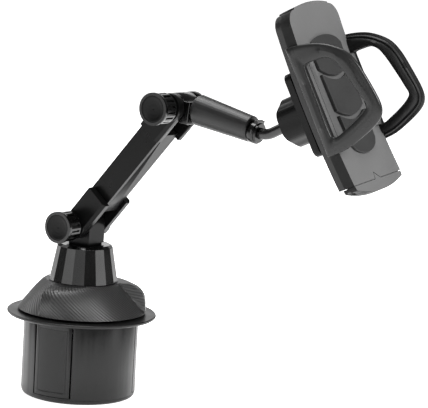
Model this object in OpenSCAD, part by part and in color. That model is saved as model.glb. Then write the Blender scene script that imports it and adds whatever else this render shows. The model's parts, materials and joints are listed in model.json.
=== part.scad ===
// Car phone mount: an expanding cup base, a two-link arm with clamp knobs,
// and a ball-mounted spring cradle with two looped side arms.
// X runs from the base towards the cradle, Z is up, and the origin is the
// centre of the cup base's underside. All sizes are millimetres.

/* [Cup base] */
// Outside diameter of the cup base
cup_d = 66; // [64:0.5:68]
// Height of the cup base up to the rim flange
cup_h = 46.3; // [45:0.1:50]
// Diameter of the rim flange
flange_d = 85.8; // [80:0.5:90]
// Diameter of the expander dial at its foot
dial_d = 73.7; // [70:0.5:78]
// Radial travel of each expanding jaw
jaw_travel = 6; // [4:0.5:6]

/* [Arm] */
// Angle of the lower arm above the horizontal
arm_lift = 50.2; // [35:0.1:65]
// Distance from the shoulder pin to the elbow pin
arm_len = 96; // [90:1:110]
// Angle of the upper arm below the horizontal
upper_drop = 6.6; // [0:0.1:12]
// Distance from the elbow pin to the bend in the rod
upper_len = 58.3; // [56:0.1:70]
// Diameter of the clamp knobs
knob_d = 18; // [16:0.5:18]

/* [Cradle] */
// Lean of the cradle back from the vertical
cradle_tilt = 26.56; // [15:0.1:35]
// Turn of the cradle about its own forward axis
cradle_roll = 5.3; // [0:0.1:8]
// Width of the cradle body
cradle_w = 51; // [50:0.5:56]
// Reach of the side arms in front of the cradle face
arm_reach = 33; // [28:1:36]

/* [Hidden] */
$fn = 64;

// Running clearance on a pin or shaft, and the gap between sliding plastic parts
fit = 0.05;
gap = 0.3;

// Cup base, from the floor up
cup_r = cup_d / 2;
cap_h = 2.8;
wall_t = 2.2;
floor_t = 2.4;
floor_top = cap_h + floor_t;
jaw_angles = [-81, 39, 159];
jaw_arc = 40;
seam = 0.9;
seam_arc = seam / cup_r * 180 / PI;
boss_r = 28.3;
flange_t = 1.8;
flange_top = cup_h + flange_t;
cam_z = 40;
cam_t = 3;
cam_r = 25.6;
cam_turn = 90;
pin_r0 = 17;
pin_r = 1.9;
slot_half = 2.1;
post_r = 9;
shelf_z = 78;
post_top = shelf_z + 0.3;
hub_r = 13;
dial_z = 49.5;
neck_z = 66.4;
neck_top = 87.6;
neck_r0 = 19.9;
neck_r1 = 16.15;

// Joint centres in the arm's plane
shoulder = [0, 0, 99.3];
elbow = shoulder + arm_len * [cos(arm_lift), 0, sin(arm_lift)];
handle_off = 2.6;
bend = elbow + upper_len * [cos(upper_drop), 0, -sin(upper_drop)]
     + handle_off * [-sin(upper_drop), 0, -cos(upper_drop)];
rod_len = 24.7;
rod_lift = cradle_tilt + 1.1;
ball = bend + rod_len * [cos(rod_lift), 0, sin(rod_lift)];

// Arm section
lug_half = 7.1;
cheek_in = 7.9;
cheek_out = 13;
core_half = 7.5;
plate_in = 5;
pivot_round = 8;
slot_floor = 17.5;
bolt_r = 2.5;
knob_r = knob_d / 2;
knob_in = 15.8;
knob_out = 26.5;

// Ball joint, measured from the ball's centre along the cradle's forward axis
ball_r = 7;
rod_r = 3;
liner_r = 8.4;
socket_r = 11;
nut_back = -9;
nut_front = 11.6;
nut_r = 13.6;
plate_back = 12.4;
plate_front = 16.2;
plate_half = 23;
plate_w = 24;

// Cradle body
back_x = 17.6;
part_x = 21.2;
face_x = 27.4;
shell_t = 1.8;
half_w = cradle_w / 2;
body_top = 55;
body_low = -44;
bow_r = 553;
foot_low = -50.4;
rack_pitch_r = 6;
gear_teeth = 12;
gear_m = 1;
rack_x0 = 21.6;
rack_x1 = 24.2;
pad_x = 29.6;
loop_y = half_w + 0.5;
loop_t = 2.4;
loop_lean = 6;

module arm_frame() {
    translate(shoulder) rotate([0, -arm_lift, 0]) children();
}

module upper_frame() {
    translate(elbow) rotate([0, upper_drop, 0]) children();
}

module cradle_frame() {
    translate(ball) rotate([cradle_roll, -cradle_tilt, 0]) children();
}

// A cylinder along X, from x0 to x1
module rod_x(r, x0, x1) {
    translate([x0, 0, 0]) rotate([0, 90, 0]) cylinder(r = r, h = x1 - x0);
}

// A cylinder along Y, from y0 to y1
module rod_y(r, y0, y1) {
    translate([0, y0, 0]) rotate([-90, 0, 0]) cylinder(r = r, h = y1 - y0);
}

module box(lo, hi) {
    translate(lo) cube(hi - lo);
}

// A plain tube about Z
module ring(r_out, r_in, z0, z1) {
    translate([0, 0, z0]) difference() {
        cylinder(r = r_out, h = z1 - z0);
        translate([0, 0, -1]) cylinder(r = r_in, h = z1 - z0 + 2);
    }
}

// A sector of the plan, from angle a0 to a1, wide enough to cut the base
module wedge(a0, a1, z0, z1) {
    reach = 60;
    mid = (a0 + a1) / 2;
    translate([0, 0, z0]) linear_extrude(z1 - z0)
        polygon([[0, 0], reach * [cos(a0), sin(a0)], reach * 1.5 * [cos(mid), sin(mid)],
                 reach * [cos(a1), sin(a1)]]);
}

// ---- Cup base ----

module base_cap() {
    color("#2b2b2c") rotate_extrude() polygon([
        [0, 0], [cup_r - 2, 0], [cup_r - 0.9, 0.5], [cup_r - 0.3, 1.5],
        [cup_r - 0.3, cap_h], [0, cap_h]
    ]);
}

module base_cup() {
    color("#3d3e40") difference() {
        union() {
            translate([0, 0, cap_h]) cylinder(r = cup_r, h = floor_t);
            ring(cup_r, cup_r - wall_t, cap_h, cup_h);
            for (a = jaw_angles) rotate(a + 60)
                translate([boss_r, 0, cap_h]) cylinder(r = 2.4, h = cup_h - cap_h);
            for (a = jaw_angles, s = [-1, 1]) rotate(a)
                box([15, s * 4.4 - 0.9, floor_top - 0.1], [26, s * 4.4 + 0.9, floor_top + 3]);
        }
        for (a = jaw_angles)
            wedge_cut(a);
        for (a = jaw_angles) rotate(a + 60)
            translate([boss_r, 0, cap_h - 1]) cylinder(r = 1.3, h = 26);
        translate([0, 0, cap_h - 1]) cylinder(r = 3.2, h = floor_t + 2);
    }
}

// The window that one jaw fills, with the seam on each side
module wedge_cut(a) {
    half = jaw_arc / 2 + seam_arc;
    difference() {
        wedge(a - half, a + half, cap_h + 0.6, cup_h + 1);
        translate([0, 0, cap_h]) cylinder(r = cup_r - wall_t - 1.2, h = cup_h);
        translate([0, 0, cap_h]) cylinder(r = cup_r - wall_t + 0.01, h = 0.61);
    }
}

module flange_plate() {
    color("#46474a") difference() {
        rotate_extrude() polygon([
            [0, cup_h], [flange_d / 2 - 0.6, cup_h], [flange_d / 2, cup_h + 0.6],
            [flange_d / 2, flange_top - 0.4], [flange_d / 2 - 0.4, flange_top],
            [0, flange_top]
        ]);
        translate([0, 0, cup_h - 1]) cylinder(r = hub_r + fit, h = flange_t + 2);
        for (a = jaw_angles) rotate(a + 60)
            translate([boss_r, 0, cup_h - 1]) cylinder(r = 1.3, h = flange_t);
    }
}

module centre_post() {
    foot_r = 13.5;
    screw_r = 2;
    color("#2a2a2c") difference() {
        union() {
            translate([0, 0, floor_top]) cylinder(r = foot_r, h = 3);
            translate([0, 0, floor_top]) cylinder(r = post_r, h = post_top - floor_top);
        }
        translate([0, 0, floor_top - 1]) cylinder(r = screw_r, h = post_top);
    }
}

// Three floor screws that hold the cup to the flange bosses
module base_screws() {
    color("#b9bcc0") for (a = jaw_angles) rotate(a + 60) translate([boss_r, 0, cap_h])
        cylinder(r = 1.25, h = 22);
}

module dial_hub() {
    color("#2a2a2c") ring(hub_r, post_r + fit, cam_z + cam_t, 62);
}

// Low and raised outlines of the dial at one step of its height
function dial_low(t) = dial_d / 2 - t * (dial_d / 2 - 21);
function dial_high(t) = dial_d / 2 - 10 * pow(t, 2.6);
// Share of the raised outline: full just past each crease, fading to the next
function dial_lift(a) = let (u = ((a % 120) + 120) % 120 / 120)
    u < 0.04 ? u / 0.04 : pow(1 - (u - 0.04) / 0.96, 3);
dial_steps = 72;
dial_rows = 8;
dial_h = 16.7;
crease = 10;
// Inside outline of the dial as [radius, height], from the mouth down to the skirt
dial_inside = [
    [post_r + gap, dial_z + dial_h], [post_r + gap, 62.2], [hub_r + 0.08, 62.2],
    [hub_r + 0.08, dial_z + 0.3], [15.5, dial_z + 0.3], [15.5, 52.5], [31, 52.5], [33, dial_z]
];

// Swirled bell: rings of points outside, then down the inside, closed into one skin
module grip_dial() {
    n = dial_steps;
    outside = [for (k = [0 : dial_rows], i = [0 : n - 1])
        let (t = k / dial_rows, a = i * 360 / n,
             r = dial_low(t) + (dial_high(t) - dial_low(t)) * dial_lift(a - crease))
        [r * cos(a), r * sin(a), dial_z + t * dial_h]];
    inside = [for (p = dial_inside, i = [0 : n - 1]) let (a = i * 360 / n)
        [p[0] * cos(a), p[0] * sin(a), p[1]]];
    rings = dial_rows + 1 + len(dial_inside);
    skin = [for (k = [0 : rings - 1], i = [0 : n - 1])
        let (j = (i + 1) % n, m = (k + 1) % rings) each [
            [k * n + i, m * n + i, m * n + j],
            [k * n + i, m * n + j, k * n + j]]];
    color("#3c3d40") polyhedron(points = concat(outside, inside), faces = skin);
}

// Disc with three spiral slots that push the jaw pins outwards
module cam_plate() {
    grow = jaw_travel / cam_turn;
    steps = 12;
    color("#8b8e92") difference() {
        translate([0, 0, cam_z]) cylinder(r = cam_r, h = cam_t);
        translate([0, 0, cam_z - 1]) cylinder(r = post_r + 0.6, h = cam_t + 2);
        for (a = jaw_angles) translate([0, 0, cam_z - 1]) linear_extrude(cam_t + 2)
            polygon(concat(
                [for (i = [-1 : steps + 1]) let (p = a - i * cam_turn / steps,
                    r = pin_r0 + grow * (a - p) - slot_half) r * [cos(p), sin(p)]],
                [for (i = [steps + 1 : -1 : -1]) let (p = a - i * cam_turn / steps,
                    r = pin_r0 + grow * (a - p) + slot_half) r * [cos(p), sin(p)]]));
    }
}

// One expanding wall segment with its tongue, cam pin and floor rib
module jaw(a) {
    half = jaw_arc / 2;
    top = cup_h - gap;
    color("#3f4042") difference() {
        union() {
            intersection() {
                ring(cup_r, cup_r - wall_t, cap_h + 0.9, top);
                wedge(a - half, a + half, 0, top);
            }
            rotate(a) {
                box([14.2, -4.5, 33.6], [cup_r - wall_t + 0.6, 4.5, cam_z - gap]);
                box([16, -3.2, floor_top + gap], [cup_r - wall_t + 0.6, 3.2, floor_top + 4]);
                translate([pin_r0, 0, 38]) cylinder(r = pin_r, h = cam_z + cam_t - 38);
            }
        }
        pad_cut(a, 0.12);
    }
}

// The shallow pocket and the rubber skin that lies in it
module pad_cut(a, grow) {
    half = 15.6 + grow / cup_r * 180 / PI;
    intersection() {
        ring(cup_r + 1, cup_r - 0.8 - grow / 10, 6.5 - grow, cup_h - 4 + grow);
        wedge(a - half, a + half, 0, cup_h);
    }
}

module jaw_pad(a) {
    color("#303133") intersection() {
        pad_cut(a, 0);
        cylinder(r = cup_r, h = cup_h);
    }
}

module jaw_1() { jaw(jaw_angles[0]); }
module jaw_2() { jaw(jaw_angles[1]); }
module jaw_3() { jaw(jaw_angles[2]); }
module jaw_pad_1() { jaw_pad(jaw_angles[0]); }
module jaw_pad_2() { jaw_pad(jaw_angles[1]); }
module jaw_pad_3() { jaw_pad(jaw_angles[2]); }

// ---- Neck ----

neck_sides = 18;

// Faceted collar that swivels on the post
module neck_collar() {
    chamfer_z = neck_top - 1.4;
    outline = [for (i = [0 : neck_sides - 1])
        [cos(i * 360 / neck_sides + 9), sin(i * 360 / neck_sides + 9)]];
    color("#1d1d1f") difference() {
        hull() for (e = [[neck_z, neck_r0], [chamfer_z, neck_r1], [neck_top - 0.1, neck_r1 * 0.9]])
            translate([0, 0, e[0]]) linear_extrude(0.1) polygon(outline * e[1]);
        translate([0, 0, neck_z - 1]) cylinder(r = post_r + fit, h = 14);
        translate([0, 0, shelf_z]) cylinder(r = 11.6, h = neck_top - shelf_z - 2.4);
        for (s = [-1, 1]) translate([0, s * 4, neck_top - 4]) cylinder(r = 1.3, h = 6);
    }
}

// Washer and cap screw on top of the post that keep the neck down
module neck_retainer() {
    color("#9a9da1") {
        translate([0, 0, post_top]) cylinder(r = 10.8, h = 1.2);
        translate([0, 0, post_top + 1.1]) cylinder(r = 3.4, h = 2.2);
        translate([0, 0, 60]) cylinder(r = 1.95, h = post_top - 59);
    }
}

// Upright tongue at the shoulder, on a narrow plinth
module pivot_lug() {
    color("#2c2d2f") difference() {
        union() {
            box([-7, -6.4, neck_top], [7, 6.4, neck_top + 1.1]);
            box([-pivot_round, -lug_half, neck_top + 1], [pivot_round, lug_half, shoulder[2]]);
            translate(shoulder) rod_y(pivot_round, -lug_half, lug_half);
        }
        translate(shoulder) rod_y(bolt_r + fit, -10, 10);
        for (s = [-1, 1]) translate([0, s * 4, neck_top - 1]) cylinder(r = 1.3, h = 7);
    }
}

module lug_screws() {
    color("#b9bcc0") for (s = [-1, 1]) translate([0, s * 4, neck_top - 4]) {
        cylinder(r = 1.25, h = 9);
        cylinder(r = 2.2, h = 1.5);
    }
}

// ---- Lower arm ----

web_low = -6;
web_high = 7.2;

// Channel between the side plates, hollowed round both pivots
module arm_web() {
    color("#47484b") arm_frame() difference() {
        box([8, -plate_in, web_low], [arm_len - 8, plate_in, web_high]);
        rod_y(slot_floor, -9, 9);
        translate([arm_len, 0, 0]) rod_y(slot_floor, -9, 9);
        box([22, -3.4, web_low + 2.2], [arm_len - 22, 3.4, web_high + 1]);
        for (x = [30, arm_len - 30]) translate([x, 0, 0]) rod_y(1.3, -9, 9);
    }
}

// Side plate: a slim middle, stepped out into a cheek at each end; s is the side
module side_plate(s) {
    lower_end = 24.5;
    upper_end = 19.5;
    color("#1f1f21") arm_frame() difference() {
        mirror_y(s) {
            box([10, plate_in, web_low], [arm_len - 10, core_half, 7.8]);
            cheek(0, lower_end);
            translate([arm_len, 0, 0]) mirror([1, 0, 0]) cheek(0, upper_end);
        }
        mirror_y(s) {
            for (x = [0, arm_len]) translate([x, 0, 0]) rod_y(slot_floor, 0, cheek_in);
            for (x = [0, arm_len]) translate([x, 0, 0]) rod_y(bolt_r + 0.15, 0, 20);
            for (x = [30, arm_len - 30]) translate([x, 0, 0]) rod_y(1.3, 0, s > 0 ? 20 : 6.6);
        }
    }
}

module mirror_y(s) {
    mirror([0, s < 0 ? 1 : 0, 0]) children();
}

// A fork cheek round the pivot at the origin, out to length x1
module cheek(x0, x1) {
    low = -8;
    high = 6.6;
    rod_y(pivot_round, cheek_in, cheek_out);
    difference() {
        box([x0, cheek_in, low], [x1, cheek_out, high]);
        translate([x1 / 2, cheek_out, low]) rotate([45, 0, 0])
            cube([x1 * 3, 2.4, 2.4], center = true);
    }
    box([slot_floor - 1, core_half - 0.1, web_low + 0.5], [x1 - 0.6, cheek_in + 0.1, high - 0.4]);
}

module side_plate_near() { side_plate(-1); }
module side_plate_far() { side_plate(1); }

module arm_screws() {
    color("#b9bcc0") arm_frame() for (x = [30, arm_len - 30]) translate([x, 0, 0]) {
        rod_y(1.25, -6.4, core_half);
        rod_y(2.4, core_half, core_half + 1);
    }
}

// Clamp bolt through a fork, with a hex head outside the far cheek
module fork_bolt() {
    hex_across = 8;
    rod_y(bolt_r, -23.6, cheek_out);
    translate([0, cheek_out, 0]) rotate([-90, 0, 0]) cylinder(r = hex_across / 2, h = 3, $fn = 6);
}

module shoulder_bolt() {
    color("#8c8f93") arm_frame() fork_bolt();
}

module elbow_bolt() {
    color("#8c8f93") arm_frame() translate([arm_len, 0, 0]) fork_bolt();
}

// Thin friction washers between each lug and its cheeks
module fork_washers() {
    color("#6d7073") arm_frame() for (x = [0, arm_len], s = [-1, 1]) translate([x, 0, 0])
        difference() {
            rod_y(6.5, min(s * 7.2, s * cheek_in), max(s * 7.2, s * cheek_in));
            rod_y(bolt_r + 0.15, -10, 10);
        }
}

// ---- Clamp knobs, in a frame at their own pin ----

knob_flats = 16;

module knob_body() {
    rim_h = 2;
    flat_r = knob_r - 0.4;
    difference() {
        union() {
            translate([0, -knob_in, 0]) rotate([90, 0, 0]) linear_extrude(knob_out - rim_h - knob_in)
                polygon([for (i = [0 : knob_flats - 1])
                    flat_r * [cos(i * 360 / knob_flats), sin(i * 360 / knob_flats)]]);
            rod_y(knob_r, -knob_out, -knob_out + rim_h);
            rod_y(6.4, -knob_in, -cheek_out - gap);
        }
        rod_y(7.4, -knob_out - 1, -knob_out + 1.4);
        rod_y(4, -knob_in - 8.2, -cheek_out + 1);
        for (i = [0 : knob_flats - 1]) rotate([0, (i + 0.5) * 360 / knob_flats, 0])
            box([flat_r - 1.1, -knob_out + 3.2, -0.6], [flat_r + 2, -knob_in - 0.9, 0.6]);
    }
}

// Dished disc set in the knob's rim
module knob_cap_disc() {
    translate([0, -knob_out + 1.4, 0]) rotate([90, 0, 0]) rotate_extrude()
        polygon([[0, 0], [7.3, 0], [7.3, 1.1], [6.6, 1.1], [5, 0.8], [3, 0.6], [0, 0.5]]);
}

module knob_insert() {
    difference() {
        rod_y(3.95, -knob_in - 8.2, -cheek_out - gap);
        rod_y(bolt_r + fit, -knob_in - 9, -cheek_out + 1);
    }
}

module knob_1() { color("#161617") translate(shoulder) knob_body(); }
module knob_1_cap() { color("#242426") translate(shoulder) knob_cap_disc(); }
module knob_1_insert() { color("#b08d4c") translate(shoulder) knob_insert(); }
module knob_2() { color("#161617") translate(elbow) knob_body(); }
module knob_2_cap() { color("#242426") translate(elbow) knob_cap_disc(); }
module knob_2_insert() { color("#b08d4c") translate(elbow) knob_insert(); }

// ---- Upper arm ----

handle_x0 = 11.2;
handle_x1 = 48.4;
collar_x1 = 53.9;
collar_r = 6.2;
// Sleeve outline as [distance, height, radius] along the upper arm
handle_rings = [
    [handle_x0, 1, 7.3], [handle_x0 + 1.8, 0.9, 8.6],
    [handle_x1 - 0.6, -1.6, 7.2], [handle_x1, -1.6, 6.8]
];

// Eye that turns in the elbow fork, with a square shank into the handle
module upper_tongue() {
    color("#222224") upper_frame() difference() {
        union() {
            rod_y(pivot_round, -lug_half, lug_half);
            box([0, -lug_half, -7.6], [10.5, lug_half, 5]);
            translate([0, 0, -handle_off]) box([10, -3, -2.6], [15, 3, 2.6]);
        }
        rod_y(bolt_r + fit, -10, 10);
    }
}

// Tapered sleeve, bored along its length for the rod
module handle_sleeve() {
    color("#303133") upper_frame() translate([0, 0, -handle_off]) difference() {
        hull() for (e = handle_rings) translate([e[0], 0, e[1] + handle_off])
            rotate([0, 90, 0]) cylinder(r = e[2], h = 0.01, $fn = 40);
        rod_x(rod_r + fit, 16, handle_x1 + 1);
        box([10, -3.05, -2.65], [15.1, 3.05, 2.65]);
    }
}

// Screw collar on the end of the handle with a thumb tab on top
module lock_collar() {
    color("#18181a") upper_frame() translate([0, 0, -handle_off]) difference() {
        union() {
            rod_x(collar_r, handle_x1 + gap, collar_x1 - 1.2);
            rod_x(collar_r - 0.8, collar_x1 - 1.3, collar_x1);
            translate([collar_x1 - 3.4, 0, 4]) rotate([0, 12, 0]) box([0, -3.5, 0], [2.4, 3.5, 3]);
        }
        rod_x(rod_r + fit, handle_x1 - 1, collar_x1 + 1);
    }
}

rod_bend = upper_drop + rod_lift;
bend_r = 12;
bend_run = bend_r * tan(rod_bend / 2);

// Steel rod: straight in the handle, one bend, and the ball on its end
module ball_rod() {
    color("#202022") {
        upper_frame() translate([0, 0, -handle_off]) {
            rod_x(rod_r, 17, upper_len - bend_run);
            translate([upper_len - bend_run, 0, bend_r]) rotate([90, 0, 0]) rotate([0, 0, -90])
                rotate_extrude(angle = rod_bend) translate([bend_r, 0]) circle(r = rod_r);
        }
        translate(ball) rotate([0, -rod_lift, 0]) {
            rod_x(rod_r, -rod_len + bend_run, -2);
            sphere(r = ball_r);
        }
    }
}

// ---- Ball joint ----

// Ring cut from a hollow ball, turned about the forward axis
module ball_liner() {
    a0 = 54;
    a1 = 125;
    n = 14;
    color("#d8d6cf") cradle_frame() rotate([0, 90, 0]) rotate_extrude() polygon(concat(
        [for (i = [0 : n]) let (a = a0 + (a1 - a0) * i / n) liner_r * [sin(a), cos(a)]],
        [for (i = [n : -1 : 0]) let (a = a0 + (a1 - a0) * i / n)
            (ball_r + fit) / cos((a1 - a0) / n / 2) * [sin(a), cos(a)]]));
}

module ball_socket() {
    slot_w = 1.2;
    color("#262628") cradle_frame() difference() {
        union() {
            rod_x(socket_r, -3.8, plate_back);
            rod_x(6, plate_back - 1, back_x + 2.1);
        }
        sphere(r = liner_r + fit);
        rod_x(1.65, 11, plate_front + 5);
        for (a = [0, 90]) rotate([a, 0, 0])
            box([-5, -slot_w / 2, -20], [3, slot_w / 2, 20]);
        for (a = [0 : 90 : 270]) rotate([a + 45, 0, 0]) translate([0, 8.4, 0])
            rod_x(1.05, 7, plate_back + 1);
    }
}

// Washer and screw inside the rear shell that keep the cradle on its spin boss
module spin_retainer() {
    color("#9a9da1") cradle_frame() {
        rod_x(8, back_x + 2.15, back_x + 2.75);
        rod_x(1.6, 12, back_x + 2.2);
    }
}

// Square plate between the socket and the cradle
module back_plate() {
    r = 4;
    color("#1c1c1e") cradle_frame() difference() {
        translate([plate_back, 0, 0]) rotate([90, 0, 90])
            linear_extrude(plate_front - plate_back) rounded(plate_w, plate_half, r);
        rod_x(6.1, plate_back - 1, plate_front + 1);
        for (a = [0 : 90 : 270]) rotate([a + 45, 0, 0]) translate([0, 8.4, 0])
            rod_x(1.2, plate_back - 1, plate_front + 1);
    }
}

module plate_screws() {
    color("#b9bcc0") cradle_frame() for (a = [0 : 90 : 270]) rotate([a + 45, 0, 0])
        translate([0, 8.4, 0]) rod_x(1, 7.5, plate_front - 0.2);
}

// A rounded rectangle outline made of true arcs
module rounded(w, h, r) {
    square([2 * w, 2 * (h - r)], center = true);
    square([2 * (w - r), 2 * h], center = true);
    for (x = [-1, 1], y = [-1, 1]) translate([x * (w - r), y * (h - r)]) circle(r = r);
}

nut_lobes = 6;
// Radius of the lobed nut at one angle
function nut_edge(a) = nut_r - 1.1 * (0.5 - 0.5 * cos(a * nut_lobes));

module ball_nut() {
    skin = [for (i = [0 : 71]) nut_edge(i * 5) * [cos(i * 5), sin(i * 5)]];
    color("#232325") cradle_frame() difference() {
        rotate([0, 90, 0]) {
            translate([0, 0, nut_back + 2]) linear_extrude(nut_front - nut_back - 2) polygon(skin);
            translate([0, 0, nut_back]) linear_extrude(1) polygon(skin * 0.84);
            translate([0, 0, nut_back + 1]) linear_extrude(1.01) polygon(skin * 0.94);
        }
        rod_x(socket_r + 0.15, -4, nut_front + 1);
        sphere(r = liner_r + 0.2);
        translate([nut_back - 0.5, 0, 0]) rotate([0, 90, 0]) cylinder(r1 = 8.3, r2 = 6.7, h = 3.6);
    }
}

// ---- Cradle body ----

// How far the bowed body leans forward at height z
function bow(z) = bow_r - sqrt(bow_r * bow_r - z * z);
body_zs = [for (i = [0 : 16]) body_low - 8 + i * (body_top - body_low + 12) / 16];

// Solid between two bowed faces at x0 and x1, over the given half width
module bowed(x0, x1, y0, y1) {
    translate([0, y1, 0]) rotate([90, 0, 0]) linear_extrude(y1 - y0) polygon(concat(
        [for (z = body_zs) [x0 + bow(z), z]],
        [for (i = [len(body_zs) - 1 : -1 : 0]) [x1 + bow(body_zs[i]), body_zs[i]]]));
}

// Front outline of the body: crowned top, straight sides, square foot end
module body_outline(grow) {
    r = 8;
    crown_r = 85;
    w = half_w + grow;
    intersection() {
        translate([0, body_top - crown_r]) circle(r = crown_r + grow, $fn = 180);
        union() {
            translate([-w, body_low - grow]) square([2 * w, body_top - r - 2.6 - body_low + grow]);
            translate([-w + r, body_low - grow]) square([2 * (w - r), body_top - body_low + grow]);
            for (s = [-1, 1]) translate([s * (w - r), body_top - r - 2.6]) circle(r = r);
        }
    }
}

module body_prism(grow) {
    rotate([90, 0, 90]) linear_extrude(60) body_outline(grow);
}

// Posts that take the shell screws, clear of the racks
shell_posts = [[-18, 42], [18, 42], [-18, -36], [18, -36]];

module rear_shell() {
    color("#2f3032") cradle_frame() difference() {
        union() {
            difference() {
                intersection() {
                    bowed(back_x, part_x, -40, 40);
                    body_prism(0);
                }
                intersection() {
                    bowed(back_x + shell_t, part_x + 5, -40, 40);
                    body_prism(-shell_t);
                }
            }
            intersection() {
                bowed(back_x, part_x - 0.2, -40, 40);
                for (p = shell_posts) translate([0, p[0], p[1]]) rod_x(2.6, 0, 60);
            }
            rod_x(11.8, plate_front + 0.3, back_x + 0.6);
        }
        for (p = shell_posts) translate([0, p[0], p[1]]) rod_x(1.3, 0, 60);
        rod_x(6.1, 0, back_x + 3);
        box([back_x - 1, -5.3, button_z - 3.3], [back_x + 4, 5.3, button_z + 3.3]);
        rack_slots();
    }
}

// Openings in the body's sides where the racks pass
module rack_slots() {
    for (s = [-1, 1]) box([rack_x0 - gap, s > 0 ? 20 : -40, s > 0 ? -10.8 : 6.6],
                          [rack_x1 + gap, s > 0 ? 40 : -20, s > 0 ? -6.6 : 10.8]);
}

module front_shell() {
    key = 3;
    color("#6a6b6e") cradle_frame() difference() {
        union() {
            difference() {
                intersection() {
                    bowed(part_x, face_x, -40, 40);
                    body_prism(0);
                }
                intersection() {
                    bowed(part_x - 5, face_x - shell_t, -40, 40);
                    body_prism(-shell_t);
                }
            }
            intersection() {
                bowed(part_x, face_x - 1, -40, 40);
                for (p = shell_posts) translate([0, p[0], p[1]]) rod_x(2.6, 0, 60);
            }
        }
        for (p = shell_posts) translate([0, p[0], p[1]]) rod_x(0.9, 0, face_x - 1);
        rack_slots();
        for (s = [-1, 1]) translate([24.5, s * 11, body_low - 1]) cylinder(r = 1.7, h = 4);
        foot_rim(0.25);
        rotate([90, 0, 90]) linear_extrude(60)
            polygon([[-key - 0.4, body_low - 1], [-key + 1.2, body_low + 3.9], [key + 0.9, body_low - 1]]);
    }
}

// Half width of the pad column at height z, which narrows downwards
function pad_half(z) = 14.2 + z * 0.05;
pad_sag = 4;
pad_gap = 2.4;
// Lower edge of a pad whose middle is at height z
function smile(z, y) = z + pad_sag * pow(y / 14, 2);

// Pad outline between two curved edges; the top or foot may be a dome
module pad_shape(z0, z1, dome_low, dome_high) {
    n = 12;
    w0 = pad_half(z0 + 4);
    w1 = pad_half(z1);
    rotate([90, 0, 90]) translate([0, 0, face_x - 1]) linear_extrude(pad_x - face_x + 1)
        polygon(concat(
            [for (i = [0 : n]) let (y = w0 * (2 * i / n - 1))
                [y, dome_low ? z0 + 8 * (1 - sqrt(max(0, 1 - pow(y / w0, 2) * 0.96))) : smile(z0, y)]],
            [for (i = [n : -1 : 0]) let (y = w1 * (2 * i / n - 1))
                [y, dome_high ? z1 - 7 * (1 - sqrt(max(0, 1 - pow(y / w1, 2) * 0.96)))
                              : smile(z1, y)]]));
}

// A pad is its outline, flat in front, set on the bowed face
module pad(z0, z1, dome_low, dome_high) {
    color("#4a4b4d") cradle_frame() difference() {
        pad_shape(z0, z1, dome_low, dome_high);
        bowed(0, face_x, -40, 40);
    }
}

module pad_top() { pad(14, 36.4, false, true); }
module pad_middle() { pad(-8.4, 14 - pad_gap, false, false); }
module pad_bottom() { pad(-29.8, -8.4 - pad_gap, true, false); }

module shell_screws() {
    color("#b9bcc0") cradle_frame() for (p = shell_posts) translate([0, p[0], p[1]]) {
        rod_x(0.85, back_x + 3.2, face_x - 1.6);
        rod_x(1.2, back_x + 1.4, back_x + 3.2);
    }
}

// ---- Rack and pinion inside the cradle ----

module pinion_pin() {
    color("#9a9da1") cradle_frame() rod_x(1.5, back_x + 3.1, face_x - shell_t);
}

// Involute flank: radius and angle at roll-off t degrees from base radius rb
function inv(rb, t) = [rb / cos(t), (tan(t) * 180 / PI) - t];
press = 20;
add = 0.7;
ded = 0.95;
base_r = rack_pitch_r * cos(press);
tip_t = acos(base_r / (rack_pitch_r + add));
backlash = 1.4;
flank_half = 90 / gear_teeth - backlash + inv(base_r, press)[1];

module pinion() {
    root_r = rack_pitch_r - ded;
    color("#c9c7bf") cradle_frame() rotate([pinion_phase, 0, 0]) difference() {
        union() {
            rotate([90, 0, 90]) translate([0, 0, rack_x0]) linear_extrude(rack_x1 - rack_x0)
                polygon([for (i = [0 : gear_teeth - 1]) let (c = i * 360 / gear_teeth) each concat(
                    [let (a = c - flank_half) root_r * [cos(a), sin(a)]],
                    [for (k = [0 : 4]) let (p = inv(base_r, tip_t * k / 4), a = c - flank_half + p[1])
                        p[0] * [cos(a), sin(a)]],
                    [for (k = [4 : -1 : 0]) let (p = inv(base_r, tip_t * k / 4), a = c + flank_half - p[1])
                        p[0] * [cos(a), sin(a)]],
                    [let (a = c + flank_half) root_r * [cos(a), sin(a)]])]);
            rod_x(2.8, rack_x0 - 0.6, face_x - shell_t - 0.3);
        }
        rod_x(1.5 + fit, 0, 60);
    }
}

// A tooth gap faces straight up and straight down at rest
pinion_phase = 90 / gear_teeth * 2;
pitch = PI * gear_m;
rack_reach = 21.5;

// One rack: teeth towards the pinion at the origin, body above it
module rack_bar() {
    top = rack_pitch_r + 4.4;
    thick = pitch / 2 - 0.3;
    lean = tan(press);
    y0 = -half_w - 0.6;
    translate([rack_x0, 0, 0]) rotate([90, 0, 90]) linear_extrude(rack_x1 - rack_x0) {
        translate([y0, rack_pitch_r + ded]) square([rack_reach - y0, top - rack_pitch_r - ded]);
        for (i = [-1 : 6]) let (c = i * pitch)
            polygon([[c - thick / 2 - ded * lean, rack_pitch_r + ded + 0.01],
                     [c - thick / 2 + add * lean, rack_pitch_r - add],
                     [c + thick / 2 - add * lean, rack_pitch_r - add],
                     [c + thick / 2 + ded * lean, rack_pitch_r + ded + 0.01]]);
    }
}

// Flat spiral spring round the pinion hub
module spiral_spring() {
    turns = 3;
    steps = 48;
    r0 = 3.4;
    grow = 1.1;
    half = 0.18;
    color("#b4b7bb") cradle_frame() rotate([90, 0, 90]) translate([0, 0, rack_x1 + 0.2])
        linear_extrude(0.9) polygon(concat(
            [for (i = [0 : steps]) let (a = i * 360 * turns / steps, r = r0 + grow * a / 360 - half)
                r * [cos(a), sin(a)]],
            [for (i = [steps : -1 : 0]) let (a = i * 360 * turns / steps, r = r0 + grow * a / 360 + half)
                r * [cos(a), sin(a)]]));
}

// ---- Side arms ----

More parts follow.
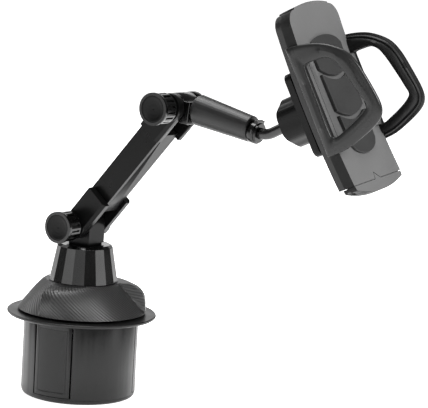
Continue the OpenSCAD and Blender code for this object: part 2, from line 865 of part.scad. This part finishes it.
loop_x0 = 22;
loop_tip = face_x + arm_reach;

// Outline of a looped arm in its own plane; grow swells it
module loop_outer(grow) {
    offset_arc([[loop_x0, 34.5], [loop_tip - 20, 31], [loop_tip - 5.5, 17.5], [loop_tip, -9],
                [loop_tip - 10, -21.5], [loop_x0 + 8, -26], [loop_x0, -25]],
               [1.5, 10, 12, 6, 7, 6, 1.5], grow);
}

module loop_window(grow) {
    offset_arc([[loop_x0 + 7, 22.5], [loop_tip - 20, 21.5], [loop_tip - 12.5, 13],
                [loop_tip - 9, -7.5], [loop_tip - 14.5, -12.8], [loop_x0 + 9, -17]],
               [2.5, 6, 8, 3.5, 5, 3], -grow);
}

// Polygon with a true arc of radius rs[i] at each corner, swelled by grow
module offset_arc(p, rs, grow) {
    n = len(p);
    polygon([for (i = [0 : n - 1])
        let (a = p[(i + n - 1) % n], b = p[i], c = p[(i + 1) % n],
             u = (a - b) / norm(a - b), v = (c - b) / norm(c - b),
             half = acos(u * v) / 2, m = (u + v) / norm(u + v),
             r = rs[i], centre = b + m * (r / sin(half)),
             start = -m, turn = cross(u, v) > 0 ? -1 : 1, span = 90 - half)
        each [for (k = [-4 : 4]) let (t = turn * span * k / 4)
            centre + (r + grow) * [start[0] * cos(t) - start[1] * sin(t),
                                   start[0] * sin(t) + start[1] * cos(t)]]]);
}

// The plate of a side arm stands on the body's edge and leans inwards
module loop_plate(y0, y1, rim, hole) {
    translate([face_x, -loop_y, 0]) rotate([0, 0, loop_lean]) translate([-face_x, 0, 0])
        translate([0, -y0, 0]) rotate([90, 0, 0]) linear_extrude(y1 - y0) difference() {
            loop_outer(rim);
            loop_window(hole);
        }
}

flange_y = 19.2;

// A loop with its root block beside the body and its strip on the face
module side_arm_body() {
    loop_plate(0.4, 0.4 + loop_t, 0, 0);
    box([loop_x0 + 0.4, -loop_y - 2.4, -23.5], [face_x + 1.7, -loop_y, 33]);
    difference() {
        box([face_x - 4, -loop_y - 0.1, -17.5], [face_x + 1.7, -flange_y, 23]);
        bowed(0, face_x + 0.3, -40, 40);
    }
}

module to_right() {
    mirror([0, 1, 0]) children();
}

module side_arm_left() {
    color("#4a4b4e") cradle_frame() {
        side_arm_body();
        rack_bar();
    }
}

module side_arm_right() {
    color("#4a4b4e") cradle_frame() {
        to_right() side_arm_body();
        rotate([180, 0, 0]) rack_bar();
    }
}

// Rubber liner on the inside of the loop
module arm_liner() {
    difference() {
        loop_plate(-2.2, 0.4, -1.6, -1);
        box([0, -60, -60], [face_x + 2.2, 60, 60]);
    }
}

module arm_liner_left() { color("#131314") cradle_frame() arm_liner(); }
module arm_liner_right() { color("#131314") cradle_frame() to_right() arm_liner(); }

// ---- Release button and foot ----

button_z = 33;
button_x = back_x + bow(button_z + 4);

module release_button() {
    color("#3a3b3d") cradle_frame() {
        box([button_x - 1.4, -5, button_z - 3], [button_x + 2.2, 5, button_z + 3]);
        box([button_x + 2.1, -6, button_z - 4.2], [button_x + 3.1, 6, button_z + 4.2]);
    }
}

// Foot bar below the body, with a centre key and two guide rods
module foot_support() {
    crown_r = 85;
    key = 3;
    color("#6a6b6e") cradle_frame() difference() {
        union() {
            intersection() {
                bowed(back_x + 2.2, face_x, -40, 40);
                rotate([90, 0, 90]) linear_extrude(60) intersection() {
                    translate([0, foot_low + crown_r]) circle(r = crown_r, $fn = 180);
                    foot_outline();
                }
            }
            intersection() {
                bowed(part_x + 0.4, face_x, -40, 40);
                rotate([90, 0, 90]) linear_extrude(60)
                    polygon([[-key, body_low - 0.6], [-key + 1.3, body_low + 3.2], [key, body_low - 0.6]]);
            }
            for (s = [-1, 1]) translate([24.5, s * 11, body_low - 3]) cylinder(r = 1.4, h = 22);
            foot_rim(0);
        }
        for (s = [-1, 1]) translate([24.4, s * (half_w - 3), foot_low + 3.4]) rod_y(1.3, -5, 5);
    }
}

// Upstand on the foot that closes its joint line, and the groove above it
module foot_rim(grow) {
    y1 = half_w - 1.2 + grow;
    y0 = y1 - 1.3 - 2 * grow;
    x1 = 28.3 + grow;
    z1 = body_low + 0.9 + grow;
    box([x1 - 1.3 - 2 * grow, -y1, body_low - 1], [x1, y1, z1]);
    box([23.6 - grow, -y1, body_low - 1], [x1, -y0, z1]);
    box([23.6 - grow, y0, body_low - 1], [x1, y1, z1]);
}

module foot_outline() {
    r = 3.6;
    w = half_w - 0.4;
    top = body_low - 0.35;
    intersection() {
        translate([-w, foot_low - 1]) square([2 * w, top - foot_low + 1]);
        union() {
            translate([-w + r, foot_low - 1]) square([2 * (w - r), 10]);
            for (s = [-1, 1]) translate([s * (w - r), foot_low + r + 1.8]) circle(r = r);
            translate([-w, foot_low + r + 1.8]) square([2 * w, 10]);
        }
    }
}

base_cap();
base_cup();
flange_plate();
centre_post();
base_screws();
dial_hub();
grip_dial();
cam_plate();
jaw_1();
jaw_2();
jaw_3();
jaw_pad_1();
jaw_pad_2();
jaw_pad_3();
neck_collar();
pivot_lug();
neck_retainer();
lug_screws();
arm_web();
side_plate_near();
side_plate_far();
arm_screws();
shoulder_bolt();
elbow_bolt();
fork_washers();
knob_1();
knob_1_cap();
knob_1_insert();
knob_2();
knob_2_cap();
knob_2_insert();
upper_tongue();
handle_sleeve();
lock_collar();
ball_rod();
ball_liner();
ball_socket();
back_plate();
ball_nut();
plate_screws();
rear_shell();
front_shell();
pad_top();
pad_middle();
pad_bottom();
shell_screws();
pinion_pin();
pinion();
spiral_spring();
side_arm_left();
side_arm_right();
arm_liner_left();
arm_liner_right();
release_button();
spin_retainer();
foot_support();
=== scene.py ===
"""Car phone mount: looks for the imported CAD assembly, built piece by piece on its bodies."""

import json
import math

import bmesh
import bpy
from mathutils import Matrix, Vector


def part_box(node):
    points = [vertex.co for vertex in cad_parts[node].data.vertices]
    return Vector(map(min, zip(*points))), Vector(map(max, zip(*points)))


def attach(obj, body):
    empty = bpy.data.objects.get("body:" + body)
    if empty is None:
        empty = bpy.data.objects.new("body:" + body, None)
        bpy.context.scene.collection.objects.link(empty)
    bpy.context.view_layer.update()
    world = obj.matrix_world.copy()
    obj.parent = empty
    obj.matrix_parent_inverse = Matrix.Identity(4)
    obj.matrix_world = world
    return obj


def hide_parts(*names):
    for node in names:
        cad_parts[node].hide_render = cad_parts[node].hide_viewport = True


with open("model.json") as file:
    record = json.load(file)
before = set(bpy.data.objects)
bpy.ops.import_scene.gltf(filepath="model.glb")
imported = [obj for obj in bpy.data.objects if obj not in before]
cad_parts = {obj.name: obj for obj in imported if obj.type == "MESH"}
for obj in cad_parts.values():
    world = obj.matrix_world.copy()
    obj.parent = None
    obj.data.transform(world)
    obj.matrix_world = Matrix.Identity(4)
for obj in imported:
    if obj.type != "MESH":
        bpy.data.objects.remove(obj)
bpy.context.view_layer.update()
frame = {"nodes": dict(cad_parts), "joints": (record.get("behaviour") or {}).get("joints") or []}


# ---------------------------------------------------------------- Cup base
# The barrel that drops into a car's cup holder: a moulded polypropylene cup with its cap
# pressed into the underside and three wall segments that slide out to grip the holder.

MM = 0.001
DRIFT_MM = 14  # how far apart the slow changes of tone and gloss are
WELD_MM = 0.002  # corners of a CAD mesh closer than this are one


def linear(hex_colour):
    """Linear RGBA of an sRGB hex colour."""
    parts = [int(hex_colour[i:i + 2], 16) / 255 for i in (1, 3, 5)]
    return (*[c / 12.92 if c <= 0.04045 else ((c + 0.055) / 1.055) ** 2.4 for c in parts], 1.0)


def add(tree, kind, inputs=None, **settings):
    """A shader node with its settings made and its inputs set or linked."""
    made = tree.nodes.new("ShaderNode" + kind)
    for name, value in settings.items():
        setattr(made, name, value)
    for name, value in (inputs or {}).items():
        if isinstance(value, bpy.types.NodeSocket):
            tree.links.new(value, made.inputs[name])
        else:
            made.inputs[name].default_value = value
    return made


def surface(name):
    """A new material, its node tree, its shader and the coordinates of the piece in metres."""
    material = bpy.data.materials.new(name)
    material.use_nodes = True
    tree = material.node_tree
    return material, tree, tree.nodes["Principled BSDF"], add(tree, "TexCoord").outputs["Object"]


def moulded(name, colour, roughness, grain_mm, depth_mm, tone=0.12, metal=0.0, level=0.5):
    """Plastic, rubber or metal with a fine surface grain, slow tone changes and uneven gloss."""
    material, tree, shader, where = surface(name)
    grain = add(tree, "TexNoise", {"Vector": where, "Scale": 1 / (grain_mm * MM), "Detail": 3.0})
    drift = add(tree, "TexNoise", {"Vector": where, "Scale": 1 / (DRIFT_MM * MM), "Detail": 2.0})
    dark = tuple(c * (1 - tone) for c in linear(colour)[:3]) + (1.0,)
    light = tuple(min(1, c * (1 + tone)) for c in linear(colour)[:3]) + (1.0,)
    blend = add(tree, "MixRGB", {"Fac": drift.outputs["Fac"], "Color1": dark, "Color2": light})
    gloss = add(tree, "MapRange", {"Value": drift.outputs["Fac"], "From Min": 0.3, "From Max": 0.7,
                                   "To Min": roughness * 0.9, "To Max": min(1, roughness * 1.1)})
    bump = add(tree, "Bump", {"Height": grain.outputs["Fac"], "Distance": depth_mm * MM,
                              "Strength": 0.6})
    tree.links.new(blend.outputs["Color"], shader.inputs["Base Color"])
    tree.links.new(gloss.outputs["Result"], shader.inputs["Roughness"])
    tree.links.new(bump.outputs["Normal"], shader.inputs["Normal"])
    shader.inputs["Metallic"].default_value = metal
    shader.inputs["Specular IOR Level"].default_value = level
    return material


def finish(material, *nodes, edge_mm=0.0, from_deg=32):
    """Give CAD nodes a material and, where asked, a small rounded edge."""
    for name in nodes:
        piece = frame["nodes"][name]
        piece.data.materials.clear()
        piece.data.materials.append(material)
        if edge_mm:
            weld = piece.modifiers.new("weld", "WELD")
            weld.merge_threshold = WELD_MM * MM
            edge = piece.modifiers.new("edge", "BEVEL")
            edge.width = edge_mm * MM
            edge.segments = 2
            edge.limit_method = "ANGLE"
            edge.angle_limit = math.radians(from_deg)
            edge.harden_normals = True


# An even black with a low, broad sheen along the curve of the wall.
cup_plastic = moulded("polypropylene, satin moulded", "#0e0e0e", 0.36, 0.5, 0.008, level=0.27)
# Nearly the same black, with a coarser grain that breaks the sheen up.
jaw_rubber = moulded("thermoplastic rubber, fine grain", "#0f0f0f", 0.38, 0.6, 0.012, level=0.27)
# Bright, slightly blurred reflections.
zinc = moulded("steel, bright zinc plate", "#b4b6b8", 0.3, 0.4, 0.01, metal=1.0)
finish(cup_plastic, "base_cup", "base_cap", "jaw_1", "jaw_2", "jaw_3", edge_mm=0.1)
finish(jaw_rubber, "jaw_pad_1", "jaw_pad_2", "jaw_pad_3")
finish(zinc, "base_screws")


# ---------------------------------------------------------------- Rim flange, post and cam
# A flat moulded disc screwed to the cup's bosses. It carries the centre post that the neck
# swivels on, and covers the steel cam plate that drives the jaws.

# Milky off-white with a waxy look.
acetal = moulded("acetal, natural", "#d5d2c8", 0.4, 0.4, 0.01)
# A soft black that shows its edges and little else.
satin = moulded("nylon, satin black", "#121212", 0.4, 0.4, 0.015, level=0.35)
finish(cup_plastic, "flange_plate", edge_mm=0.3)
finish(satin, "centre_post", "dial_hub")
finish(zinc, "cam_plate", "neck_retainer", edge_mm=0.1)


# ---------------------------------------------------------------- Expander dial
# A swirled bell that is turned by hand to push the jaws out. It is one ABS moulding with a
# fine slanted hatch on its skin, pushed over the dial hub.

def ring_skin(rings):
    """Points and faces of a closed skin through closed rings, the last joined to the first."""
    count = len(rings[0])
    faces = [(k * count + i, k * count + (i + 1) % count,
              (k + 1) % len(rings) * count + (i + 1) % count, (k + 1) % len(rings) * count + i)
             for k in range(len(rings)) for i in range(count)]
    return [point for ring in rings for point in ring], faces


def settle(name, points, faces, material, body, slot, smooth_deg):
    """Put a mesh in the scene with outward normals, shading, material and body; slot is not used."""
    mesh = bpy.data.meshes.new(name)
    mesh.from_pydata(points, [], faces)
    work = bmesh.new()
    work.from_mesh(mesh)
    bmesh.ops.recalc_face_normals(work, faces=work.faces)
    for edge in work.edges:
        edge.smooth = len(edge.link_faces) == 2 and edge.calc_face_angle(0) < math.radians(smooth_deg)
    for face in work.faces:
        face.smooth = True
    work.to_mesh(mesh)
    work.free()
    mesh.materials.append(material)
    made = bpy.data.objects.new(name, mesh)
    bpy.context.collection.objects.link(made)
    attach(made, body)
    return made


low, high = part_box("grip_dial")
skirt_r = (high.x - low.x) / 2
skirt_z, mouth_z = low.z, high.z
hub_low, hub_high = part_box("dial_hub")
bore_mm = (hub_high.x - hub_low.x) / 2 / MM + 0.05
mouth_r = 21 * MM
DIAL_STEPS, DIAL_ROWS = 360, 44
SWIRL_DEG, FIRST_CREASE_DEG, CREASE_LEAN_DEG = 120, 25, 3
# Shares of a swirl that its crease steps out over and that it then stays full for, and the
# power of its fade.
CREASE_SHARE, FULL_SHARE, FADE_POWER = 0.025, 0.13, 2.5
# The swell falls in slowly as far as its shoulder, then turns in to the mouth.
SHOULDER_SHARE, SHOULDER_DROP_MM, TURN_IN_MM = 0.9, 5.78, 40
# Radius and height in millimetres from the mouth down the bore, then under the hollow to the lip.
DIAL_INSIDE = [(14, 16.6), (bore_mm, 12.5), (bore_mm, 0.4), (15.5, 0.4), (15.5, 3), (31, 3), (33.5, 0),
               (36, -0.25)]


def swell_radius(rise):
    """Radius of the fullest part of a swirl at a share of the height."""
    drop = 0.3 * rise + 8.4 * rise ** 4
    if rise >= SHOULDER_SHARE:
        drop = SHOULDER_DROP_MM + TURN_IN_MM * (rise - SHOULDER_SHARE)
    return skirt_r - drop * MM


def dial_radius(turn, rise):
    """Outside radius at a share of a swirl past the crease and a share of the height."""
    cone = skirt_r - rise * (skirt_r - mouth_r)
    share = turn / CREASE_SHARE
    if turn >= CREASE_SHARE:
        share = (1 - max(0, turn - FULL_SHARE) / (1 - FULL_SHARE)) ** FADE_POWER
    return cone + (max(swell_radius(rise), cone) - cone) * share


rings = []
for k in range(DIAL_ROWS + 1):
    rise = k / DIAL_ROWS
    ring = []
    for i in range(DIAL_STEPS):
        angle = 360 * i / DIAL_STEPS
        turn = ((angle - FIRST_CREASE_DEG + CREASE_LEAN_DEG * rise) % SWIRL_DEG) / SWIRL_DEG
        radius = dial_radius(turn, rise)
        ring.append((radius * math.cos(math.radians(angle)), radius * math.sin(math.radians(angle)),
                     skirt_z + rise * (mouth_z - skirt_z)))
    rings.append(ring)
for radius, height in DIAL_INSIDE:
    rings.append([(radius * MM * math.cos(2 * math.pi * i / DIAL_STEPS),
                   radius * MM * math.sin(2 * math.pi * i / DIAL_STEPS),
                   skirt_z + height * MM) for i in range(DIAL_STEPS)])

# The hatch is a wave that climbs as it goes round, lighter on its ridges; it gives the skin a
# fine slanted shimmer over a soft sheen.
HATCH_PITCH_MM, HATCH_DEPTH_MM, HATCH_SLANT, HATCH_AT_R_MM = 1.9, 0.12, 1.1, 30.0
hatched, tree, shader, where = surface("ABS, satin with a slanted hatch")
axes = add(tree, "SeparateXYZ", {"Vector": where})
bearing = add(tree, "Math", {0: axes.outputs["Y"], 1: axes.outputs["X"]}, operation="ARCTAN2")
around = add(tree, "Math", {0: bearing.outputs[0], 1: HATCH_AT_R_MM}, operation="MULTIPLY")
climb = add(tree, "Math", {0: axes.outputs["Z"], 1: 1 / MM}, operation="MULTIPLY")
slant = add(tree, "Math", {0: climb.outputs[0], 1: HATCH_SLANT, 2: around.outputs[0]},
            operation="MULTIPLY_ADD")
phase = add(tree, "Math", {0: slant.outputs[0], 1: 2 * math.pi / HATCH_PITCH_MM}, operation="MULTIPLY")
wave = add(tree, "Math", {0: phase.outputs[0]}, operation="SINE")
hatch = add(tree, "MapRange", {"Value": wave.outputs[0], "From Min": -1.0, "From Max": 1.0})
tone = add(tree, "MixRGB", {"Fac": hatch.outputs["Result"], "Color1": linear("#181818"),
                            "Color2": linear("#2c2c2c")})
bump = add(tree, "Bump", {"Height": hatch.outputs["Result"], "Distance": HATCH_DEPTH_MM * MM,
                          "Strength": 0.8})
tree.links.new(tone.outputs["Color"], shader.inputs["Base Color"])
tree.links.new(bump.outputs["Normal"], shader.inputs["Normal"])
shader.inputs["Roughness"].default_value = 0.38
dial = settle("dial_skin", *ring_skin(rings), hatched, "dial", "hatched_plastic", 35)
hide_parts("grip_dial")


# ---------------------------------------------------------------- Neck
# An eighteen-sided collar in polished ABS that swivels on the post. Two screws through its top
# hold the upright pivot lug.

# Deep black that mirrors the lamps in sharp streaks on each flat.
gloss = moulded("ABS, polished black", "#040404", 0.2, 0.8, 0.002, level=0.4)
finish(gloss, "neck_collar", edge_mm=0.3, from_deg=12)
finish(zinc, "lug_screws")


# ---------------------------------------------------------------- Lower arm
# Two glass-filled nylon side plates screwed to a channel web, stepped outward into a fork at
# each end. Steel bolts and thin washers clamp the forks on the nylon lug and the upper arm.

# Black with soft-edged highlights along its rounded edges and dark flat sides.
arm_plastic = moulded("glass-filled nylon, semi-gloss", "#0a0a0a", 0.3, 0.5, 0.005, level=0.12)
finish(arm_plastic, "side_plate_near", "side_plate_far", edge_mm=0.45)
finish(arm_plastic, "arm_web", "pivot_lug", edge_mm=0.4)
finish(zinc, "arm_screws", "shoulder_bolt", "elbow_bolt", "fork_washers", edge_mm=0.15)


# ---------------------------------------------------------------- Clamp knobs
# Slotted ABS knobs moulded over brass inserts, each with a dished disc pressed in its rim.
# They thread on the clamp bolts at the shoulder and the elbow.

# A warm yellow metal, slightly blurred by the tool marks.
brass = moulded("brass, turned", "#b8924f", 0.3, 0.3, 0.01, metal=1.0)
finish(gloss, "knob_1", "knob_2", edge_mm=0.25)
finish(arm_plastic, "knob_1_cap", "knob_2_cap")
finish(brass, "knob_1_insert", "knob_2_insert")


# ---------------------------------------------------------------- Upper arm
# A short polished eye that carries a tapered handle sleeve, which holds the sliding rod. A
# ring with a small nub turns at the mouth of the sleeve and locks the rod.

finish(gloss, "upper_tongue", edge_mm=0.5)
# Very dark grey with one broad, soft highlight down its length.
grip = moulded("ABS, satin graphite grip", "#161616", 0.42, 0.5, 0.006, level=0.35)
finish(grip, "handle_sleeve")
finish(gloss, "lock_collar", edge_mm=0.4)


# ---------------------------------------------------------------- Rod and ball joint
# A bent steel rod, black coated, ending in a ball. The ball sits in an acetal liner inside a
# slit socket that the lobed nut squeezes; a square plate joins the socket to the cradle.

# Smooth black with a narrow bright line along the rod.
coated = moulded("steel, black powder coat", "#0a0a0a", 0.25, 0.3, 0.008, level=0.5)
finish(coated, "ball_rod")
finish(acetal, "ball_liner")
finish(satin, "ball_socket")
finish(arm_plastic, "back_plate", "ball_nut", edge_mm=0.5)
finish(zinc, "plate_screws", "spin_retainer")


# ---------------------------------------------------------------- Cradle body
# A bowed ABS front shell, soft-touch painted, and a satin nylon rear shell are screwed
# together round the rack and pinion of the side arms. The painted foot slides at the bottom.

joints = {joint["name"]: joint for joint in frame["joints"]}
# Flat grey with almost no shine on what faces the phone. Faces that turn away from the front
# get a near-black colour instead: painted shade on the edges and sides.
soft_grey = moulded("ABS, soft-touch grey paint, painted shade on the sides", "#575757", 0.6, 0.35, 0.015,
                    tone=0.05, level=0.2)
tree, shader = soft_grey.node_tree, soft_grey.node_tree.nodes["Principled BSDF"]
paint = shader.inputs["Base Color"].links[0].from_socket
# Painted shade: the grey fades to near-black where a face turns away from the cradle's front.
facing = add(tree, "VectorMath", {0: add(tree, "TexCoord").outputs["Normal"],
                                  1: joints["cradle_spin"]["axis"]}, operation="DOT_PRODUCT")
unshaded_share = add(tree, "MapRange", {"Value": facing.outputs["Value"], "From Min": 0.55, "From Max": 0.8})
paint_and_painted_shade = add(tree, "MixRGB", {"Fac": unshaded_share.outputs["Result"], "Color1": linear("#070707"),
                              "Color2": paint})
tree.links.new(paint_and_painted_shade.outputs["Color"], shader.inputs["Base Color"])
finish(soft_grey, "front_shell", "foot_support", edge_mm=0.6)
finish(satin, "rear_shell", "release_button", edge_mm=0.6)
finish(zinc, "shell_screws", "pinion_pin", "spiral_spring")
finish(acetal, "pinion")


# ---------------------------------------------------------------- Pads
# Three moulded rubber pads glued to the face, side edges tapered towards the foot.

# Darker and flatter than the paint round it, with a grain that catches the light at the edges.
pad_rubber = moulded("thermoplastic rubber, matte grey", "#262626", 0.55, 0.5, 0.03,
                     tone=0.06, level=0.3)
finish(pad_rubber, "pad_top", "pad_middle", "pad_bottom", edge_mm=0.4)


# ---------------------------------------------------------------- Side arms
# A looped ABS shell on each side that carries its rack, with a rubber liner glued inside it.
# The outside is crowned, with a soft rolled rim all round; both arms toe in a little.

ball = Vector(joints["cradle_spin"]["pos_m"])
forward = Vector(joints["cradle_spin"]["axis"])
across = Vector(joints["ball_tilt"]["axis"])
upward = Vector(joints["ball_pan"]["axis"])
# In millimetres: where an arm's plane crosses the cradle's face, and how far that face is ahead
# of the ball.
arm_out, face_x = 26.0, 27.4
toe = math.radians(6)


def cradle_point(x, y, z):
    """A point of the cradle, from millimetres ahead of the ball, across and up."""
    return ball + (forward * x + across * y + upward * z) * MM


def arm_point(hand, x, out, z):
    """A point of a side arm, out off its plane; hand is -1 on the left and 1 on the right."""
    reach = x - face_x
    return cradle_point(face_x + reach * math.cos(toe) + out * math.sin(toe),
                        hand * (arm_out - reach * math.sin(toe) + out * math.cos(toe)), z)


def smooth_path(points, sharp=(), pieces=8):
    """A closed spline through points; it turns a corner at the numbered sharp ones."""
    path, count = [], len(points)
    points = [Vector(p) for p in points]
    for i in range(count):
        a, b, c, d = (points[(i + k) % count] for k in (-1, 0, 1, 2))
        a = b if i in sharp else a
        d = c if (i + 1) % count in sharp else d
        for k in range(pieces):
            t = k / pieces
            path.append(0.5 * (2 * b + (c - a) * t + (2 * a - 5 * b + 4 * c - d) * t ** 2
                               + (3 * b - a - 3 * c + d) * t ** 3))
    return path


def ray_hit(path, origin, angle):
    """Distance from origin to a closed path in one direction."""
    ray = Vector((math.cos(angle), math.sin(angle)))
    best = 0
    for i, p in enumerate(path):
        q = path[(i + 1) % len(path)]
        edge = q - p
        cross = ray.x * edge.y - ray.y * edge.x
        if abs(cross) < 1e-9:  # the ray runs along this edge
            continue
        gap = p - origin
        reach = (gap.x * edge.y - gap.y * edge.x) / cross
        share = (gap.x * ray.y - gap.y * ray.x) / cross
        if reach > 0 and -1e-6 <= share <= 1 + 1e-6:
            best = max(best, reach)
    return best


# The loop seen from its side, in millimetres ahead of the ball and up. The rim's first and last
# points are its corners on the body.
loop_rim = smooth_path([(22, 34.9), (31.5, 33.3), (40.5, 30.4), (47.5, 26.2), (53.2, 20.8),
                        (56.6, 13.5), (58.7, 3.5), (60.3, -8.5), (59.3, -14.6), (55.5, -18.4),
                        (46.5, -22), (34, -25.2), (22, -25.6)], sharp=(0, 12))
loop_hole = smooth_path([(29, 21), (30.2, 23), (35.1, 23), (41, 22.2), (44.8, 19.4), (47.2, 14.5),
                         (49.8, 4.5), (51.8, -3.5), (52.7, -8.3), (49.6, -11.1), (43.1, -13.9),
                         (36.2, -16.1), (31.4, -17.4), (28.9, -16.6), (28.3, -11), (28.7, 4)])
heart = Vector((41, 3))
SPOKES = 240
spokes = []
for i in range(SPOKES):
    angle = 2 * math.pi * i / SPOKES
    spokes.append((angle, ray_hit(loop_rim, heart, angle), ray_hit(loop_hole, heart, angle)))


def loop_rings(hand, section):
    """Rings round a looped arm; section lists from which edge, how far in from it, and how far out."""
    rings = []
    for edge, inset, out in section:
        ring = []
        for angle, rim, hole in spokes:
            reach = {"rim": rim - inset, "hole": hole + inset, "mid": rim + (hole - rim) * inset}[edge]
            ring.append(arm_point(hand, heart.x + math.cos(angle) * reach, out,
                                  heart.y + math.sin(angle) * reach))
        rings.append(ring)
    return rings


def slab(hand, ahead, outward, up, bow=0.0):
    """Eight corners of a block on one hand; bow is how far it comes forward 50 mm up or down."""
    return [cradle_point(x + bow * (z / 50) ** 2, hand * y, z)
            for z in up for y in outward for x in ahead]


def add_slabs(points, faces, slabs):
    """The same points and faces with blocks of eight corners added."""
    for corners in slabs:
        faces = faces + [tuple(len(points) + i for i in face) for face in SLAB_FACES]
        points = points + corners
    return points, faces


SLAB_FACES = [(0, 1, 3, 2), (4, 6, 7, 5), (0, 4, 5, 1), (2, 3, 7, 6), (0, 2, 6, 4), (1, 5, 7, 3)]
# Insets from the rim and the hole are in millimetres, and the mid ones are shares of the width.
SHELL_SECTION = [("rim", 0.6, 0.4), ("rim", 0.0, 0.7), ("rim", 0.0, 1.3), ("rim", 0.25, 1.8),
                 ("rim", 0.8, 2.15), ("rim", 2.0, 2.6), ("rim", 4.0, 3.05), ("mid", 0.5, 3.2),
                 ("mid", 0.72, 3.0), ("hole", 0.9, 2.6), ("hole", 0.3, 2.3), ("hole", 0.0, 1.6),
                 ("hole", 0.0, 0.4)]
LINER_SECTION = [("rim", 1.5, 0.4), ("rim", 1.5, -0.6), ("rim", 2.1, -1.1), ("rim", 2.6, -0.7),
                 ("rim", 3.2, -0.7), ("rim", 3.7, -1.6), ("mid", 0.6, -2.3), ("hole", 0.9, -2.0),
                 ("hole", 0.3, -1.2), ("hole", 0.3, 0.4)]
# Spans in millimetres ahead of the ball, outward and up: the wall that joins the loop to the
# body, the rack behind it, and the two painted strips beside the pads.
WALL_SPANS = (22.4, 29.1), (26, 28.2), (-23.5, 33)
RACK_AHEAD, RACK_OUTWARD = (21.6, 24.2), (-21.5, 26.2)
RACK_UP = {"left": (6.95, 10.4), "right": (-10.4, -6.95)}
STRIP_AHEAD, STRIP_UP, STRIP_BOW = (face_x + 0.2, face_x + 1.5), (-17.5, 23), 0.6
STRIP_OUTWARD = (19.2, 22.5), (22.8, 26.2)

# Dark graphite with a clear, slightly soft reflection rolling over the crowned side.
loop_satin = moulded("ABS, satin graphite", "#1c1c1c", 0.28, 0.5, 0.006, level=0.25)
# Plain dull black that makes the inside of the loop read as a dark band.
liner_rubber = moulded("thermoplastic rubber, black", "#080808", 0.5, 0.5, 0.02, level=0.25)
for hand, side_name in ((-1, "left"), (1, "right")):
    name, body = "side_arm_" + side_name, "arm_" + side_name
    joins = [slab(hand, *WALL_SPANS), slab(hand, RACK_AHEAD, RACK_OUTWARD, RACK_UP[side_name])]
    shell_skin = add_slabs(*ring_skin(loop_rings(hand, SHELL_SECTION)), joins)
    shell = settle(name + "_shell", *shell_skin, loop_satin, body, "satin_plastic", 50)
    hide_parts("side_arm_" + side_name)
    strips = [slab(hand, STRIP_AHEAD, outward, STRIP_UP, STRIP_BOW) for outward in STRIP_OUTWARD]
    settle(name + "_strip", *add_slabs([], [], strips), soft_grey, body, "soft_grey", 50)
    liner_skin = ring_skin(loop_rings(hand, LINER_SECTION))
    liner = settle(name + "_liner", *liner_skin, liner_rubber, body, "black_rubber", 50)
    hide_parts("arm_liner_" + side_name)


# ---------------------------------------------------------------- Floor, light and camera
# A pale seamless floor, broad soft lamps and the camera; none of them is part of the mount.

FLOOR_SIDE_M, FLOOR_DROP_MM = 16, 0.3
bpy.ops.mesh.primitive_grid_add(x_subdivisions=2, y_subdivisions=2, size=FLOOR_SIDE_M,
                                location=(0, 0, -FLOOR_DROP_MM * MM))
floor = bpy.context.object
floor.name = "floor"
# White that gives off its own light, so that it shows no edge or horizon.
paper, tree, shader, where = surface("paper, white matte")
mottle = add(tree, "TexNoise", {"Vector": where, "Scale": 3.0})
white = add(tree, "MixRGB", {"Fac": mottle.outputs["Fac"], "Color1": linear("#fcfcfc"),
                             "Color2": linear("#ffffff")})
tree.links.new(white.outputs["Color"], shader.inputs["Base Color"])
tree.links.new(white.outputs["Color"], shader.inputs["Emission Color"])
shader.inputs["Emission Strength"].default_value = 1.0
shader.inputs["Roughness"].default_value = 0.9
floor.data.materials.append(paper)

world = bpy.data.worlds.new("studio")
bpy.context.scene.world = world
world.use_nodes = True
world.node_tree.nodes["Background"].inputs["Color"].default_value = (1, 1, 1, 1)
world.node_tree.nodes["Background"].inputs["Strength"].default_value = 0.14


def lamp(name, wide, tall, watts, place, aim):
    """A rectangular soft lamp at one place, facing another."""
    light = bpy.data.lights.new(name, "AREA")
    light.shape = "RECTANGLE"
    light.size, light.size_y = wide, tall
    light.energy = watts
    made = bpy.data.objects.new(name, light)
    bpy.context.collection.objects.link(made)
    made.location = place
    made.rotation_euler = (Vector(aim) - Vector(place)).to_track_quat("-Z", "Y").to_euler()


lamp("key", 0.5, 0.5, 18, (1.1, -0.25, 0.95), (0.1, 0, 0.12))
lamp("top", 0.8, 0.8, 20, (-0.2, 0.1, 1.4), (0.06, 0, 0.12))
lamp("right strip", 0.22, 0.8, 3.5, (1.16, 0.29, 0.42), (0.06, 0, 0.1))
lamp("left strip", 0.25, 0.9, 3, (-0.42, -1.44, 0.45), (0.06, 0, 0.12))
lamp("front strip", 0.22, 0.9, 1.6, (0.61, -1.37, 0.5), (0.06, 0, 0.12))
lamp("back", 1.2, 0.6, 3, (-0.84, 1.24, 0.55), (0.06, 0, 0.12))
lamp("side", 0.3, 0.9, 2.5, (-1.1, 0.1, 0.5), (0.06, 0, 0.12))
bpy.context.scene.view_settings.view_transform = "Standard"

# The camera looks at one point of the mount from a bearing and a height, rolled a little.
AZIMUTH, ELEVATION, ROLL = math.radians(34), math.radians(8.6), math.radians(3.43)
LOOK_AT, DISTANCE_M = Vector((0.06006, 0.04051, 0.11475)), 1.2
FOCAL_MM, SENSOR_MM = 176.47, 36
back = Vector((math.sin(AZIMUTH) * math.cos(ELEVATION), -math.cos(AZIMUTH) * math.cos(ELEVATION),
               math.sin(ELEVATION)))
side = Vector((math.cos(AZIMUTH), math.sin(AZIMUTH), 0))
up = back.cross(side)
right = side * math.cos(ROLL) + up * math.sin(ROLL)
above = up * math.cos(ROLL) - side * math.sin(ROLL)
optics = bpy.data.cameras.new("camera")
optics.lens = FOCAL_MM
optics.sensor_width = SENSOR_MM
optics.dof.use_dof = False
camera = bpy.data.objects.new("camera", optics)
bpy.context.collection.objects.link(camera)
camera_axes = Matrix((right, above, back)).transposed().to_4x4()
camera.matrix_world = Matrix.Translation(LOOK_AT + back * DISTANCE_M) @ camera_axes
bpy.context.scene.camera = camera
